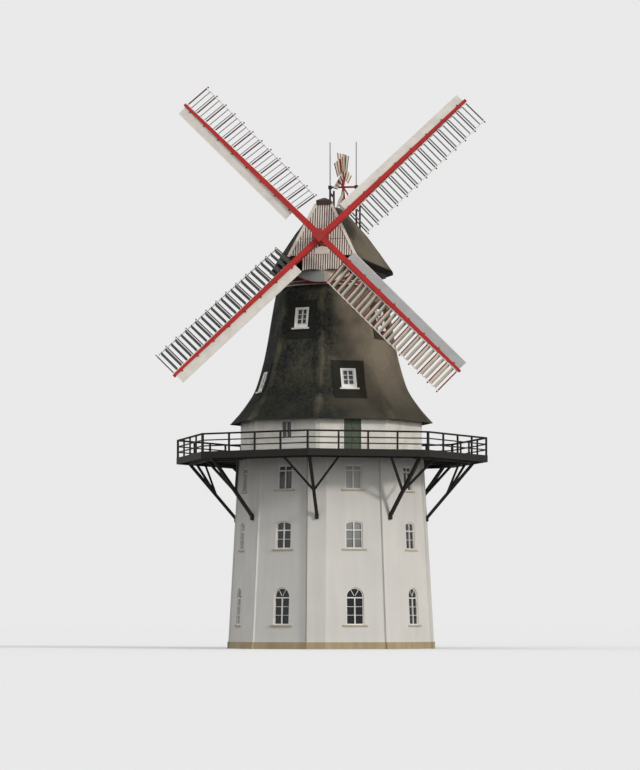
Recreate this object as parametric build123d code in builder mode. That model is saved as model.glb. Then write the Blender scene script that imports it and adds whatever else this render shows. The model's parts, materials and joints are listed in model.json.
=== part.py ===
"""Gallery smock mill: a rendered eight-sided base, a timber gallery, a thatched smock and a turning cap.

Millimetres, +Z up, origin on the ground at the middle of the tower. One corner of the octagon and
the sails face -Y. Sides are counted from 0, the side just to the right of that corner, anticlockwise.
"""

import os
from math import atan, cos, degrees, radians, sin, tan

from build123d import *

os.makedirs("parts", exist_ok=True)

# Tower: eight sides, with levels above the ground and corner radii
sides = 8
half_turn = 180 / sides
plinth_height = 410
plinth_step = 60
base_top = 11540
base_low_radius = 6310
base_high_radius = 5700
base_wall = 450
pilaster_half_width = 560
pilaster_projection = 120
upper_radius = 5560
upper_wall = 250
upper_post_half_width = 120
upper_post_projection = 25
eave_seat = 13750

# Floors: the levels walked on, and what they are made of
ground_slab = 300
base_floor_tops = (4900, 8450, base_top)
smock_floor_tops = (15000, 18600)
floor_depth = 220

# Windows of the base, one row a storey: sill height, width, height, rise of the head, transom
window_rows = {
    "ground": (1420, 1090, 2200, 545, 1600),
    "first": (5900, 1060, 1640, 130, 1100),
    "second": (9400, 1000, 1450, 0, 1130),
}
window_reveal = 60
frame_depth = 80
frame_bar = 70
glass_depth = 20
sill_overhang = 210
sill_height = 90
sill_projection = 70
pipe_radius = 45

# Doors: the entrance at the back, and two doors onto the gallery
entrance_side = 3
entrance_sill = plinth_height + 40
entrance_width = 1400
entrance_height = 2500
gallery_door_sides = (0, 4)
gallery_door_width = 1100
gallery_door_height = 2000
door_leaf = 60
door_frame = 90
gallery_window_sides = (7, 3)
gallery_window = (750, 1035)
gallery_window_sill = 890

# Gallery
gallery_level = 11600
gallery_radius = 9540
deck_depth = gallery_level - base_top
deck_gap = 8
joist_depth = 180
joist_width = 100
joist_pitch = 900
joists_each_way = 3
corner_beam_width = 220
ring_beam_radius = 8650
ring_beam_depth = 220
ring_beam_width = 180
fascia_depth = 340
fascia_width = 50
post_inset = 90
post_width = 95
corner_post_width = 120
rail_heights = (370, 710, 1070)
rail_depth = 70
rail_width = 60
strut_foot = 7800
strut_width = 170
strut_depth = 180
arm_width = 120
strut_fork = 0.44
arm_spread = 1700
strut_overrun = 0.1

# Thatched smock: outer corner radius at each level, then inner corner radius
thatch_outer = (
    (13580, 6240), (14000, 5840), (14400, 5500), (14830, 5180), (15500, 4750),
    (16200, 4480), (17600, 4100), (19500, 3750), (21450, 3400), (21800, 3000),
)
thatch_inner = ((eave_seat, 5150), (15000, 4550), (18600, 3420), (21800, 2550))
smock_window_width = 940
smock_window_height = 1330
smock_window_bar = 90
smock_window_cover = 40
smock_window_depth = 420
smock_window_sills = (15400, 19100)

# Curb and cap
curb_low = thatch_outer[-1][0]
curb_height = 600
curb_top = curb_low + curb_height
curb_outer = 2950
curb_inner = 2400
turn_gap = 0.5
cap_ring_depth = 200
cap_ring_outer = 2800
cap_ring_inner = 2350
soffit_depth = 60
eave_flat = 450
thatch_depth = 350
cap_beam_width = 260
cap_beam_depth = 300
cap_beam_front = -3300
cap_beam_back = 7250
apron_radius = 3750
apron_depth = 60
apron_low = 21860
apron_half_angle = 23

# Cap outline: half width at the eave, eave level and ridge level behind the gable, then the same
# at stations further back, each after its place along Y at the soffit and its lean in degrees
cap_front = (2250, 23200, 26500)
cap_stations = (
    (-1900, 6, 3300, 22900, 26750),
    (0, 0, 3800, 22800, 26750),
    (1800, 0, 3600, 22800, 26500),
    (3400, -10, 2700, 22850, 25600),
    (4300, -25, 1500, 22900, 24300),
)
cap_curve = ((0.80, 0.275), (0.59, 0.55), (0.376, 0.79), (0.22, 0.955))
ridge_flat = 60

# Gable: half outline of its boards, as X and the distance up the boards from the hub line
gable_back = 1010
gable_depth = 60
gable_outline = [(430, 2375), (1950, -860), (1200, -860), (1200, -1760)]
hood_half_width = 445
hood_front = -3150
hood_back = -2350
hood_levels = (26300, 26620, 26860, 27040)
hood_top_share = 0.15

# Sails: the windshaft leans, with its front end up
hub_y = -4500
hub_height = 24500
shaft_lean = 12
shaft_radius = 260
shaft_clearance = 40
shaft_back = 6900
bearing_backs = (2300, 6300)
bearing_length = 420
bearing_cheek = 120
bearing_fit = 0.5
poll_half = 330
poll_reach = 365
sail_radius = 12080
stock_root = 340
stock_tip = 160
stock_gap = 5
stock_rest_angle = 45
sail_root = 2250
sail_end = 11930
sail_bays = 12
sail_fit = 0.3
bar_reach = 1830
bar_width = 70
bar_depth = 60
weather_root = 20
weather_tip = 6
hem_width = 45
hem_gap = 30
outer_hem = 1700
board_width = 560
board_depth = 40
board_lean = 8
shutter_places = (0.19, 0.62)
shutter_width = 330
shutter_depth = 30
shutter_open = 71

# Fantail on the back of the cap
fan_y = 5400
fan_height = 28800
fan_radius = 2100
fan_blades = 8
fan_blade_root = 1000
fan_blade_widths = (820, 1200)
fan_blade_depth = 20
fan_blade_pitch = 29
fan_rest_angle = 86
fan_arm_width = 80
fan_hub_radius = 200
fan_axle_radius = 60
fan_frame_x = 830
fan_post_spread = 1660
fan_post_width = 110
fan_block = 210
fan_tie_levels = (25300, 28350)
rod_top = 31650
rod_radius = 35


def turned(angle, along, across=0.0, height=0.0):
    """Point at `along` in the compass direction `angle`, `across` to its left, at a height."""
    a = radians(angle)
    return Vector(along * cos(a) - across * sin(a), along * sin(a) + across * cos(a), height)


def side_angle(side):
    """Direction that a side of the octagon faces."""
    return -90 + half_turn * (2 * side + 1)


def corner_angle(corner):
    """Direction of a corner of the octagon."""
    return -90 + 2 * half_turn * corner


def flat_radius(corner_radius):
    """Distance from the middle to a side, from the distance to a corner."""
    return corner_radius * cos(radians(half_turn))


def interpolate(table, value):
    """Second column of a table at a value of its first, along straight lines."""
    for (low, first), (high, last) in zip(table, table[1:]):
        if value <= high:
            return first + (last - first) * (value - low) / (high - low)
    return table[-1][1]


def closed_face(points, mode=Mode.ADD):
    """Flat face inside a closed run of straight lines, in the sketch that is open."""
    with BuildLine() as outline:
        Polyline(*points, close=True)
    make_face(outline.edges(), mode=mode)


def ruled_solid(outlines):
    """Solid with straight sides through closed outlines, each a list of corner points."""
    faces = [Face(Wire.make_polygon(points)) for points in outlines]
    return loft(sections=faces, ruled=True, mode=Mode.PRIVATE)


def prism(points, height):
    """Upright prism on an outline of corner points."""
    outline = Face(Wire.make_polygon(points))
    return extrude(outline, amount=height, dir=(0, 0, 1), mode=Mode.PRIVATE)


def octagon(corner_radius, height):
    """Corner points of a level octagon."""
    return [turned(corner_angle(corner), corner_radius, 0, height) for corner in range(sides)]


class Shell:
    """An eight-sided wall that leans inwards between two levels."""

    def __init__(self, low, high, low_radius, high_radius, wall):
        self.low, self.high = low, high
        self.table = ((low, low_radius), (high, high_radius))
        self.wall = wall
        self.lean = degrees(atan(flat_radius(low_radius - high_radius) / (high - low)))

    def radius(self, height):
        return interpolate(self.table, height)

    def plane(self, side, height):
        """Plane on the outside of a side, X to the right and Z outwards."""
        angle = side_angle(side)
        outwards = turned(angle, cos(radians(self.lean)), 0, sin(radians(self.lean)))
        origin = turned(angle, flat_radius(self.radius(height)), 0, height)
        return Plane(origin=origin, x_dir=turned(angle, 0, 1), z_dir=outwards)

    def side_points(self, side, height, corner_share):
        """Outline of one side at a level, stopping short of its corners."""
        flat = flat_radius(self.radius(height))
        half = self.radius(height) * sin(radians(half_turn)) - corner_share
        angle = side_angle(side)
        spots = ((flat, -half), (flat, half), (flat - self.wall, half), (flat - self.wall, -half))
        return [turned(angle, along, across, height) for along, across in spots]

    def corner_points(self, corner, height, half_width, projection):
        """Outline of a flat-fronted corner pier at a level."""
        lean = radians(half_turn)
        radius = self.radius(height)
        shoulder = radius - half_width * tan(lean)
        inner = (shoulder - self.wall * cos(lean), half_width - self.wall * sin(lean))
        spots = (
            (shoulder + projection, -half_width), (shoulder + projection, half_width),
            (shoulder, half_width), inner, (radius - self.wall / cos(lean), 0),
            (inner[0], -inner[1]), (shoulder, -half_width),
        )
        angle = corner_angle(corner)
        return [turned(angle, along, across, height) for along, across in spots]

    def side_wall(self, side, half_width):
        """One side, as a leaning slab between two corner piers."""
        share = half_width / cos(radians(half_turn))
        levels = (self.low, self.high)
        return ruled_solid([self.side_points(side, height, share) for height in levels])

    def corner_pier(self, corner, half_width, projection):
        """One flat-fronted corner pier."""
        levels = (self.low, self.high)
        return ruled_solid(
            [self.corner_points(corner, height, half_width, projection) for height in levels]
        )

    def front_of_pier(self, corner, height, half_width, projection):
        """Plane on the flat front of a corner pier."""
        angle = corner_angle(corner)
        slope = (self.radius(self.low) - self.radius(self.high)) / (self.high - self.low)
        out = self.radius(height) - half_width * tan(radians(half_turn)) + projection
        return Plane(
            origin=turned(angle, out, 0, height), x_dir=turned(angle, 0, 1),
            z_dir=turned(angle, 1, 0, slope),
        )

    def floor(self, top, depth):
        """A floor that fills the shell below a level."""
        lost = self.wall / cos(radians(half_turn))
        levels = (top - depth, top)
        return ruled_solid([octagon(self.radius(height) - lost, height) for height in levels])


def level_bar(start, end, width, depth, level):
    """Level straight bar between two spots in plan, with its underside at a level."""
    low, high = Vector(start.X, start.Y, level), Vector(end.X, end.Y, level)
    across = (high - low).cross(Vector(0, 0, 1)).normalized() * (width / 2)
    return prism([low + across, high + across, high - across, low - across], depth)


def arched_face(width, height, rise=0.0, base=0.0, mode=Mode.ADD):
    """Window outline standing on y = base, with straight jambs and a head that rises in an arc."""
    half = width / 2
    spring = base + height - rise
    with BuildLine() as outline:
        Polyline((-half, spring), (-half, base), (half, base), (half, spring))
        if rise:
            ThreePointArc((half, spring), (0, base + height), (-half, spring))
        else:
            Line((half, spring), (-half, spring))
    make_face(outline.edges(), mode=mode)


def beam(start, end, width, depth, side):
    """Straight bar from start to end, `width` along `side` and `depth` square to it."""
    axis = end - start
    across = side - axis * (side.dot(axis) / axis.dot(axis))
    with BuildSketch(Plane(origin=start, x_dir=across, z_dir=axis)) as section:
        Rectangle(width, depth)
    return extrude(section.sketch, amount=axis.length, mode=Mode.PRIVATE)


def save(builder, name):
    """Labels a finished piece and writes it."""
    builder.part.label = name
    export_step(builder.part, f"parts/{name}.step")


plinth = Shell(0, plinth_height, base_low_radius + plinth_step, base_low_radius + plinth_step,
               base_wall + plinth_step)
base = Shell(plinth_height, base_top, base_low_radius, base_high_radius, base_wall)
upper = Shell(base_top, eave_seat, upper_radius, upper_radius, upper_wall)

# Plinth: eight plain sides and eight corner blocks, with the doorway left open
with BuildPart() as plinth_sides:
    add([plinth.side_wall(side, pilaster_half_width) for side in range(sides)])
save(plinth_sides, "plinth_sides")

with BuildPart() as plinth_corners:
    add([
        plinth.corner_pier(corner, pilaster_half_width, pilaster_projection)
        for corner in range(sides)
    ])
save(plinth_corners, "plinth_corners")

# Base walls: one slab a side, with a window in each storey or the entrance
base_windows = {
    name: [side for side in range(sides) if name != "ground" or side != entrance_side]
    for name in window_rows
}
with BuildPart() as base_walls:
    for side in range(sides):
        with BuildPart(mode=Mode.PRIVATE) as wall:
            add(base.side_wall(side, pilaster_half_width))
            for name, (sill, width, height, rise, _) in window_rows.items():
                if side in base_windows[name]:
                    with BuildSketch(base.plane(side, sill).offset(base_wall)):
                        arched_face(width, height, rise)
            if side == entrance_side:
                with BuildSketch(base.plane(side, entrance_sill).offset(base_wall)):
                    arched_face(entrance_width, entrance_height)
            extrude(amount=-3 * base_wall, mode=Mode.SUBTRACT)
        add(wall.part)
save(base_walls, "base_walls")

with BuildPart() as pilasters:
    add([
        base.corner_pier(corner, pilaster_half_width, pilaster_projection)
        for corner in range(sides)
    ])
save(pilasters, "corner_pilasters")

# Windows of the base: frames and stone sills
with BuildPart() as base_frames:
    for name, (sill, width, height, rise, transom) in window_rows.items():
        inner_width = width - 2 * frame_bar
        inner_rise = rise - frame_bar * rise / (width / 2)
        has_fanlight = rise == width / 2
        mullion_top = transom if has_fanlight else height - frame_bar
        for side in base_windows[name]:
            with BuildSketch(base.plane(side, sill).offset(-window_reveal)):
                arched_face(width, height, rise)
                arched_face(inner_width, height - 2 * frame_bar, inner_rise, frame_bar, Mode.SUBTRACT)
                with Locations((0, mullion_top / 2)):
                    Rectangle(frame_bar, mullion_top)
                with Locations((0, transom)):
                    Rectangle(width - frame_bar, frame_bar)
    extrude(amount=-frame_depth)
save(base_frames, "base_window_frames")

with BuildPart() as sills:
    for name, (sill, width, _, _, _) in window_rows.items():
        for side in base_windows[name]:
            with BuildSketch(base.plane(side, sill)):
                with Locations((0, -sill_height / 2)):
                    Rectangle(width + 2 * sill_overhang, sill_height)
    extrude(amount=sill_projection)
save(sills, "window_sills")

# Entrance door, closed in its frame
with BuildPart() as entrance_frame:
    with BuildSketch(base.plane(entrance_side, entrance_sill).offset(-window_reveal)):
        arched_face(entrance_width, entrance_height)
        arched_face(entrance_width - 2 * door_frame, entrance_height - door_frame, mode=Mode.SUBTRACT)
    extrude(amount=-frame_depth)
save(entrance_frame, "entrance_frame")

with BuildPart() as entrance_door:
    with BuildSketch(base.plane(entrance_side, entrance_sill).offset(-window_reveal)):
        arched_face(entrance_width - 2 * door_frame, entrance_height - door_frame)
    extrude(amount=-door_leaf)
save(entrance_door, "entrance_door")

# Storey above the gallery: boarded sides between corner posts
gallery_window_level = gallery_level + gallery_window_sill
with BuildPart() as upper_walls:
    add([upper.side_wall(side, upper_post_half_width) for side in range(sides)])
    for side in gallery_door_sides:
        with BuildSketch(upper.plane(side, base_top).offset(upper_wall)):
            arched_face(gallery_door_width, gallery_door_height + deck_depth)
    for side in gallery_window_sides:
        with BuildSketch(upper.plane(side, gallery_window_level).offset(upper_wall)):
            arched_face(*gallery_window)
    extrude(amount=-3 * upper_wall, mode=Mode.SUBTRACT)
save(upper_walls, "upper_walls")

with BuildPart() as upper_posts:
    add([
        upper.corner_pier(corner, upper_post_half_width, upper_post_projection)
        for corner in range(sides)
    ])
save(upper_posts, "upper_corner_posts")

with BuildPart() as gallery_doors:
    for side in gallery_door_sides:
        with BuildSketch(upper.plane(side, gallery_level)):
            arched_face(gallery_door_width, gallery_door_height)
    extrude(amount=-door_leaf)
save(gallery_doors, "gallery_doors")

with BuildPart() as gallery_frames:
    for side in gallery_window_sides:
        width, height = gallery_window
        with BuildSketch(upper.plane(side, gallery_window_level)):
            arched_face(width, height)
            arched_face(width - 2 * frame_bar, height - 2 * frame_bar, 0, frame_bar, Mode.SUBTRACT)
            with Locations((0, height / 2)):
                Rectangle(frame_bar / 2, height - frame_bar)
    extrude(amount=-frame_depth)
save(gallery_frames, "gallery_window_frames")

# Floors
slab = Shell(0, ground_slab, base_low_radius + plinth_step, base_low_radius + plinth_step,
             base_wall + plinth_step)
with BuildPart() as ground_floor:
    add(slab.floor(ground_slab, ground_slab))
save(ground_floor, "ground_floor")

with BuildPart() as base_floors:
    add([base.floor(top, floor_depth) for top in base_floor_tops])
save(base_floors, "base_floors")

with BuildPart() as smock_floors:
    for top in smock_floor_tops:
        levels = (top - floor_depth, top)
        add(ruled_solid([octagon(interpolate(thatch_inner, height), height) for height in levels]))
save(smock_floors, "smock_floors")

# Thatched smock: the bell profile carried along each side and mitred at the corners
def smock_segment(side):
    """One side of the thatch."""
    angle = side_angle(side)
    outer = [(flat_radius(radius), height) for height, radius in thatch_outer]
    inner = [(flat_radius(radius), height) for height, radius in thatch_inner]
    seat = (flat_radius(upper_radius) + 2 * upper_post_projection, eave_seat)
    upright = Plane(origin=(0, 0, 0), x_dir=turned(angle, 1), z_dir=turned(angle, 0, -1))
    with BuildLine(upright) as profile:
        Spline(*outer[:-1])
        Polyline(outer[-2], outer[-1], *reversed(inner), seat, outer[0])
    reach = 2 * thatch_outer[0][1]
    slab = extrude(Face(Wire(profile.edges())), amount=reach, both=True, mode=Mode.PRIVATE)
    wedge = [Vector(), turned(angle - half_turn, reach), turned(angle + half_turn, reach)]
    return slab & prism(wedge, curb_top)


def smock_window_plane(side, sill):
    """Plane at the front of a smock window, on the slope of the thatch and just proud of it."""
    angle = side_angle(side)
    foot, head = [
        flat_radius(interpolate(thatch_outer, level)) for level in (sill, sill + smock_window_height)
    ]
    return Plane(
        origin=turned(angle, foot + smock_window_cover, 0, sill), x_dir=turned(angle, 0, 1),
        z_dir=turned(angle, 1, 0, (foot - head) / smock_window_height),
    )


smock_rows = {"lower": (0, smock_window_sills[0]), "upper": (1, smock_window_sills[1])}

for name, (first, sill) in smock_rows.items():
    with BuildPart() as thatch:
        for side in range(first, sides, 2):
            with BuildPart(mode=Mode.PRIVATE) as segment:
                add(smock_segment(side))
                with BuildSketch(smock_window_plane(side, sill)):
                    arched_face(smock_window_width, smock_window_height)
                extrude(amount=-2 * smock_window_depth, mode=Mode.SUBTRACT)
            add(segment.part)
    save(thatch, f"smock_thatch_{name}_windows")

with BuildPart() as smock_frames:
    for first, sill in smock_rows.values():
        for side in range(first, sides, 2):
            with BuildSketch(smock_window_plane(side, sill)):
                arched_face(smock_window_width, smock_window_height)
                arched_face(
                    smock_window_width - 2 * smock_window_bar,
                    smock_window_height - 2 * smock_window_bar, 0, smock_window_bar, Mode.SUBTRACT,
                )
    extrude(amount=-smock_window_depth)
    for first, sill in smock_rows.values():
        for side in range(first, sides, 2):
            with BuildSketch(smock_window_plane(side, sill).offset(-frame_depth)):
                with Locations((0, smock_window_height / 2)):
                    Rectangle(frame_bar, smock_window_height - smock_window_bar)
    extrude(amount=-frame_depth)
save(smock_frames, "smock_window_frames")

# Glass: one pane behind each window frame
with BuildPart() as glass:
    for name, (sill, width, height, rise, _) in window_rows.items():
        for side in base_windows[name]:
            with BuildSketch(base.plane(side, sill).offset(-window_reveal - frame_depth)):
                arched_face(width, height, rise)
    for side in gallery_window_sides:
        with BuildSketch(upper.plane(side, gallery_window_level).offset(-frame_depth)):
            arched_face(*gallery_window)
    for first, sill in smock_rows.values():
        for side in range(first, sides, 2):
            with BuildSketch(smock_window_plane(side, sill).offset(-2 * frame_depth)):
                arched_face(
                    smock_window_width - 2 * smock_window_bar,
                    smock_window_height - 2 * smock_window_bar, 0, smock_window_bar,
                )
    extrude(amount=-glass_depth)
save(glass, "window_glass")

# Gallery: deck panels, joists, beams, struts and railing
def deck_outline(side, outer, inner, level, gap=deck_gap):
    """Corner points of one deck panel, short of the mitre lines by a gap."""
    slope = tan(radians(half_turn))
    spots = ((inner, -1), (outer, -1), (outer, 1), (inner, 1))
    return [
        turned(side_angle(side), flat_radius(r), way * (flat_radius(r) * slope - gap), level)
        for r, way in spots
    ]


def bar_outline(angle, start, end, across, width, level):
    """Corner points of a level bar that runs outwards in a direction."""
    low, high = across - width / 2, across + width / 2
    return [turned(angle, *spot, level) for spot in ((start, low), (end, low), (end, high), (start, high))]


deck_inner = upper_radius + 2 * upper_post_projection
with BuildPart() as deck:
    add([
        prism(deck_outline(side, gallery_radius, deck_inner, base_top), deck_depth)
        for side in range(sides)
    ])
save(deck, "gallery_deck")

joist_low = base_top - joist_depth
corner_front = base.radius(joist_low) - pilaster_half_width * tan(radians(half_turn)) \
    + pilaster_projection
fascia_inner = gallery_radius - fascia_width / cos(radians(half_turn))

with BuildPart() as corner_beams:
    ends = (corner_front, fascia_inner - fascia_width)
    add([
        prism(bar_outline(corner_angle(corner), *ends, 0, corner_beam_width, joist_low), joist_depth)
        for corner in range(sides)
    ])
save(corner_beams, "gallery_corner_beams")


def joist(side, across):
    """One joist square to its side, from the wall, pilaster or corner beam to the fascia."""
    lean = radians(half_turn)
    outer_edge = abs(across) + joist_width / 2
    beam_edge = corner_beam_width / 2 / cos(lean)
    start = max(flat_radius(base.radius(joist_low)), (outer_edge + beam_edge) / tan(lean))
    pilaster_edge = base.radius(joist_low) * sin(lean) - pilaster_half_width / cos(lean)
    if outer_edge > pilaster_edge:
        inner_edge = abs(across) - joist_width / 2
        start = max(start, (corner_front - inner_edge * sin(lean)) / cos(lean))
    ends = (start, flat_radius(fascia_inner))
    outline = bar_outline(side_angle(side), *ends, across, joist_width, joist_low)
    return prism(outline, joist_depth)


with BuildPart() as joists:
    steps = range(-joists_each_way, joists_each_way + 1)
    add([joist(side, step * joist_pitch) for side in range(sides) for step in steps])
save(joists, "gallery_joists")

ring_bottom = joist_low - ring_beam_depth
with BuildPart() as ring_beams:
    half_width = ring_beam_width / 2 / cos(radians(half_turn))
    radii = (ring_beam_radius + half_width, ring_beam_radius - half_width)
    add([prism(deck_outline(side, *radii, ring_bottom), ring_beam_depth) for side in range(sides)])
save(ring_beams, "gallery_ring_beams")

fascia_low = base_top - fascia_depth
with BuildPart() as fascias:
    add([
        prism(deck_outline(side, gallery_radius, fascia_inner, fascia_low), fascia_depth)
        for side in range(sides)
    ])
save(fascias, "gallery_fascias")

with BuildPart() as struts:
    for corner in range(sides):
        angle = corner_angle(corner)
        pier = base.front_of_pier(corner, strut_foot, pilaster_half_width, pilaster_projection)
        foot = pier.origin
        head = turned(angle, ring_beam_radius, 0, ring_bottom)
        rise = head - foot
        fork = foot + rise * strut_fork
        with BuildPart(mode=Mode.PRIVATE) as strut:
            past = rise * strut_overrun
            add(beam(foot - past, head + past, strut_width, strut_depth, turned(angle, 0, 1)))
            for way in (-1, 1):
                run = head + turned(angle + way * (90 + half_turn), arm_spread) - fork
                tip = fork + run * (1 + strut_overrun)
                add(beam(fork, tip, arm_width, arm_width, turned(angle, 1)))
            split(bisect_by=Plane.XY.offset(ring_bottom), keep=Keep.BOTTOM)
            split(bisect_by=pier, keep=Keep.TOP)
        add(strut.part)
save(struts, "gallery_struts")

post_radius = gallery_radius - post_inset
rail_flat = flat_radius(post_radius)
corner_reach = corner_post_width / 2 * (cos(radians(half_turn)) + sin(radians(half_turn)))
rail_half = post_radius * sin(radians(half_turn)) - corner_reach


def post(angle, along, across, width):
    """A square post that stands on the deck."""
    spots = (along - width / 2, along + width / 2, across, width)
    return prism(bar_outline(angle, *spots, gallery_level), rail_heights[-1])


with BuildPart() as corner_posts:
    add([post(corner_angle(corner), post_radius, 0, corner_post_width) for corner in range(sides)])
save(corner_posts, "gallery_corner_posts")

with BuildPart() as railing:
    for side in range(sides):
        angle = side_angle(side)
        for across in (-rail_half / 2, 0, rail_half / 2):
            add(post(angle, rail_flat, across, post_width))
        for height in rail_heights:
            level = gallery_level + height - rail_depth
            ends = (turned(angle, rail_flat, -rail_half), turned(angle, rail_flat, rail_half))
            add(level_bar(*ends, rail_width, rail_depth, level))
save(railing, "gallery_railing")

# Rain pipe in the nook beside the front pilaster
with BuildPart() as rain_pipe:
    beside = pilaster_half_width + pipe_radius + bearing_fit
    shoulder = pilaster_half_width * tan(radians(half_turn)) - pipe_radius
    ends = [
        turned(corner_angle(0), base.radius(height) - shoulder, -beside, height)
        for height in (plinth_height + pipe_radius, joist_low)
    ]
    with BuildSketch(Plane(origin=ends[0], z_dir=ends[1] - ends[0])):
        Circle(pipe_radius)
    extrude(amount=(ends[1] - ends[0]).length)
save(rain_pipe, "rain_pipe")

# Curb: the fixed ring that the cap turns on
with BuildPart() as curb:
    with BuildSketch(Plane.XY.offset(curb_low)):
        Circle(curb_outer)
        Circle(curb_inner, mode=Mode.SUBTRACT)
    extrude(amount=curb_height)
save(curb, "curb_ring")

# Cap: turning ring, soffit, beams, thatch and gable
ring_low = curb_top + turn_gap
ring_top = ring_low + cap_ring_depth
soffit_top = ring_top + soffit_depth
beam_top = soffit_top + cap_beam_depth


def gable_back_y(height):
    """Place along Y of the back of the leaning gable boards at a level."""
    lean = radians(shaft_lean)
    return hub_y + (gable_back + gable_depth) / cos(lean) + (height - hub_height) * tan(lean)


def cap_solid(stations, inset, low, way):
    """One half of the cap as a solid through its cross sections, cut off level at `low`."""
    outlines = []
    for y, lean, width, eave, ridge in stations:
        foot = width - eave_flat - inset / 2
        rise = ridge - inset - eave
        curve = [(max(width * share - inset, ridge_flat), eave + rise * up) for share, up in cap_curve]
        corner = (foot if inset else width, eave)
        spots = [(0, low), (foot, low), corner, *curve, (0, ridge - inset)]
        slope = tan(radians(lean))
        outlines.append([Vector(way * x, y + (z - soffit_top) * slope, z) for x, z in spots])
    return ruled_solid(outlines)


def cap_beam(way):
    """The main beam on one side of the cap, which also carries the fantail."""
    x = way * fan_frame_x
    ends = (Vector(x, cap_beam_front), Vector(x, cap_beam_back))
    return level_bar(*ends, cap_beam_width, cap_beam_depth, soffit_top)


stations = [(gable_back_y(soffit_top), shaft_lean, *cap_front), *cap_stations]
hollow_stations = [(stations[0][0] - thatch_depth, *stations[0][1:]), *stations[:-1]]

with BuildPart() as cap_ring:
    with BuildSketch(Plane.XY.offset(ring_low)):
        Circle(cap_ring_outer)
        Circle(cap_ring_inner, mode=Mode.SUBTRACT)
    extrude(amount=cap_ring_depth)
save(cap_ring, "cap_ring")

with BuildPart() as soffit:
    with BuildSketch(Plane.XY.offset(ring_top)):
        right = [(width - eave_flat, y) for y, _, width, _, _ in stations]
        closed_face(right + [(-x, y) for x, y in reversed(right)])
        Circle(cap_ring_inner, mode=Mode.SUBTRACT)
    extrude(amount=soffit_depth)
save(soffit, "cap_soffit")

with BuildPart() as cap_beams:
    add([cap_beam(way) for way in (-1, 1)])
save(cap_beams, "cap_beams")

cap_halves = {}
for name, way in (("right", 1), ("left", -1)):
    with BuildPart() as cap_half:
        add(cap_solid(stations, 0, soffit_top, way))
        add(cap_solid(hollow_stations, thatch_depth, soffit_top - thatch_depth, way), mode=Mode.SUBTRACT)
        add(cap_beam(way), mode=Mode.SUBTRACT)
    save(cap_half, f"cap_thatch_{name}")
    cap_halves[name] = cap_half.part

# The sails turn in a plane with X to the right, Y up along it and Z forward
shaft_front = Plane(
    origin=(0, hub_y, hub_height), x_dir=(1, 0, 0),
    z_dir=(0, -cos(radians(shaft_lean)), sin(radians(shaft_lean))),
)
with BuildPart() as gable:
    with BuildSketch(shaft_front.offset(-gable_back - gable_depth)):
        closed_face(gable_outline + [(-x, up) for x, up in reversed(gable_outline)])
        Circle(shaft_radius + shaft_clearance, mode=Mode.SUBTRACT)
    extrude(amount=gable_depth)
save(gable, "gable_boards")


def hood_section(front, share, level):
    """Level outline of the hood over the gable."""
    middle = (hood_front + hood_back) / 2
    half = hood_half_width * share
    rows = [middle + (y - middle) * share for y in (front, hood_back)]
    return [Vector(x, y, level) for x, y in zip((-half, half, half, -half), sorted(2 * rows))]


with BuildPart() as hood:
    foot, low, shoulder, top = hood_levels
    behind = gable_back_y(low)
    add(ruled_solid([hood_section(behind, 1, level) for level in (foot, low)]))
    sections = ((1, low), (1, shoulder), (hood_top_share, top))
    add(ruled_solid([hood_section(hood_front, share, level) for share, level in sections]))
    add(list(cap_halves.values()), mode=Mode.SUBTRACT)
save(hood, "gable_hood")

with BuildPart() as apron:
    with BuildSketch(Plane.XY.offset(apron_low)):
        with BuildLine() as outline:
            arcs = [
                CenterArc((0, 0), radius, -90 - apron_half_angle, 2 * apron_half_angle)
                for radius in (apron_radius, apron_radius + apron_depth)
            ]
            for end in (0, 1):
                Line(arcs[0] @ end, arcs[1] @ end)
        make_face()
    extrude(amount=ring_top - apron_low)
save(apron, "curb_apron")

# Bearings of the windshaft, each a block on both cap beams with a bore along the leaning shaft
with BuildPart() as bearings:
    for back in bearing_backs:
        centre = shaft_front.from_local_coords((0, 0, -back))
        with BuildSketch(Plane.XY.offset(beam_top)):
            with Locations((0, centre.Y)):
                Rectangle(2 * fan_frame_x + cap_beam_width, bearing_length)
        extrude(amount=centre.Z + shaft_radius + bearing_cheek - beam_top)
    with BuildSketch(shaft_front):
        Circle(shaft_radius + bearing_fit)
    extrude(amount=-2 * shaft_back, mode=Mode.SUBTRACT)
save(bearings, "shaft_bearings")


# Sails: points are given along a stock, across to the side of its bars, and forward
def arm_point(angle, along, across, forward):
    """Point of a sail in the plane that it turns in."""
    a = radians(angle)
    return shaft_front.from_local_coords((
        along * cos(a) + across * sin(a), along * sin(a) - across * cos(a), forward,
    ))


def arm_solid(angle, middle, stations):
    """Solid through rectangles square to a stock, each its place, half width and half depth."""
    outlines = []
    for along, half, reach in stations:
        corners = ((-half, -reach), (half, -reach), (half, reach), (-half, reach))
        outlines.append([arm_point(angle, along, across, middle + out) for across, out in corners])
    return ruled_solid(outlines)


stock_knots = ((0, stock_root / 2), (2 * poll_half, stock_root / 2), (sail_radius, stock_tip / 2))


def stock_half(along):
    """Half width of a stock at a distance from the hub."""
    return interpolate(stock_knots, abs(along))


def inner_hem(along):
    """Reach of the hem that follows the stock on its bar side."""
    return stock_half(along) + hem_gap + hem_width / 2


def stock_solid(angle, middle):
    """One stock through the poll end, tapered towards both tips."""
    places = (-sail_radius, -2 * poll_half, 2 * poll_half, sail_radius)
    return arm_solid(angle, middle, [(along, stock_half(along), stock_half(along)) for along in places])


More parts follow.
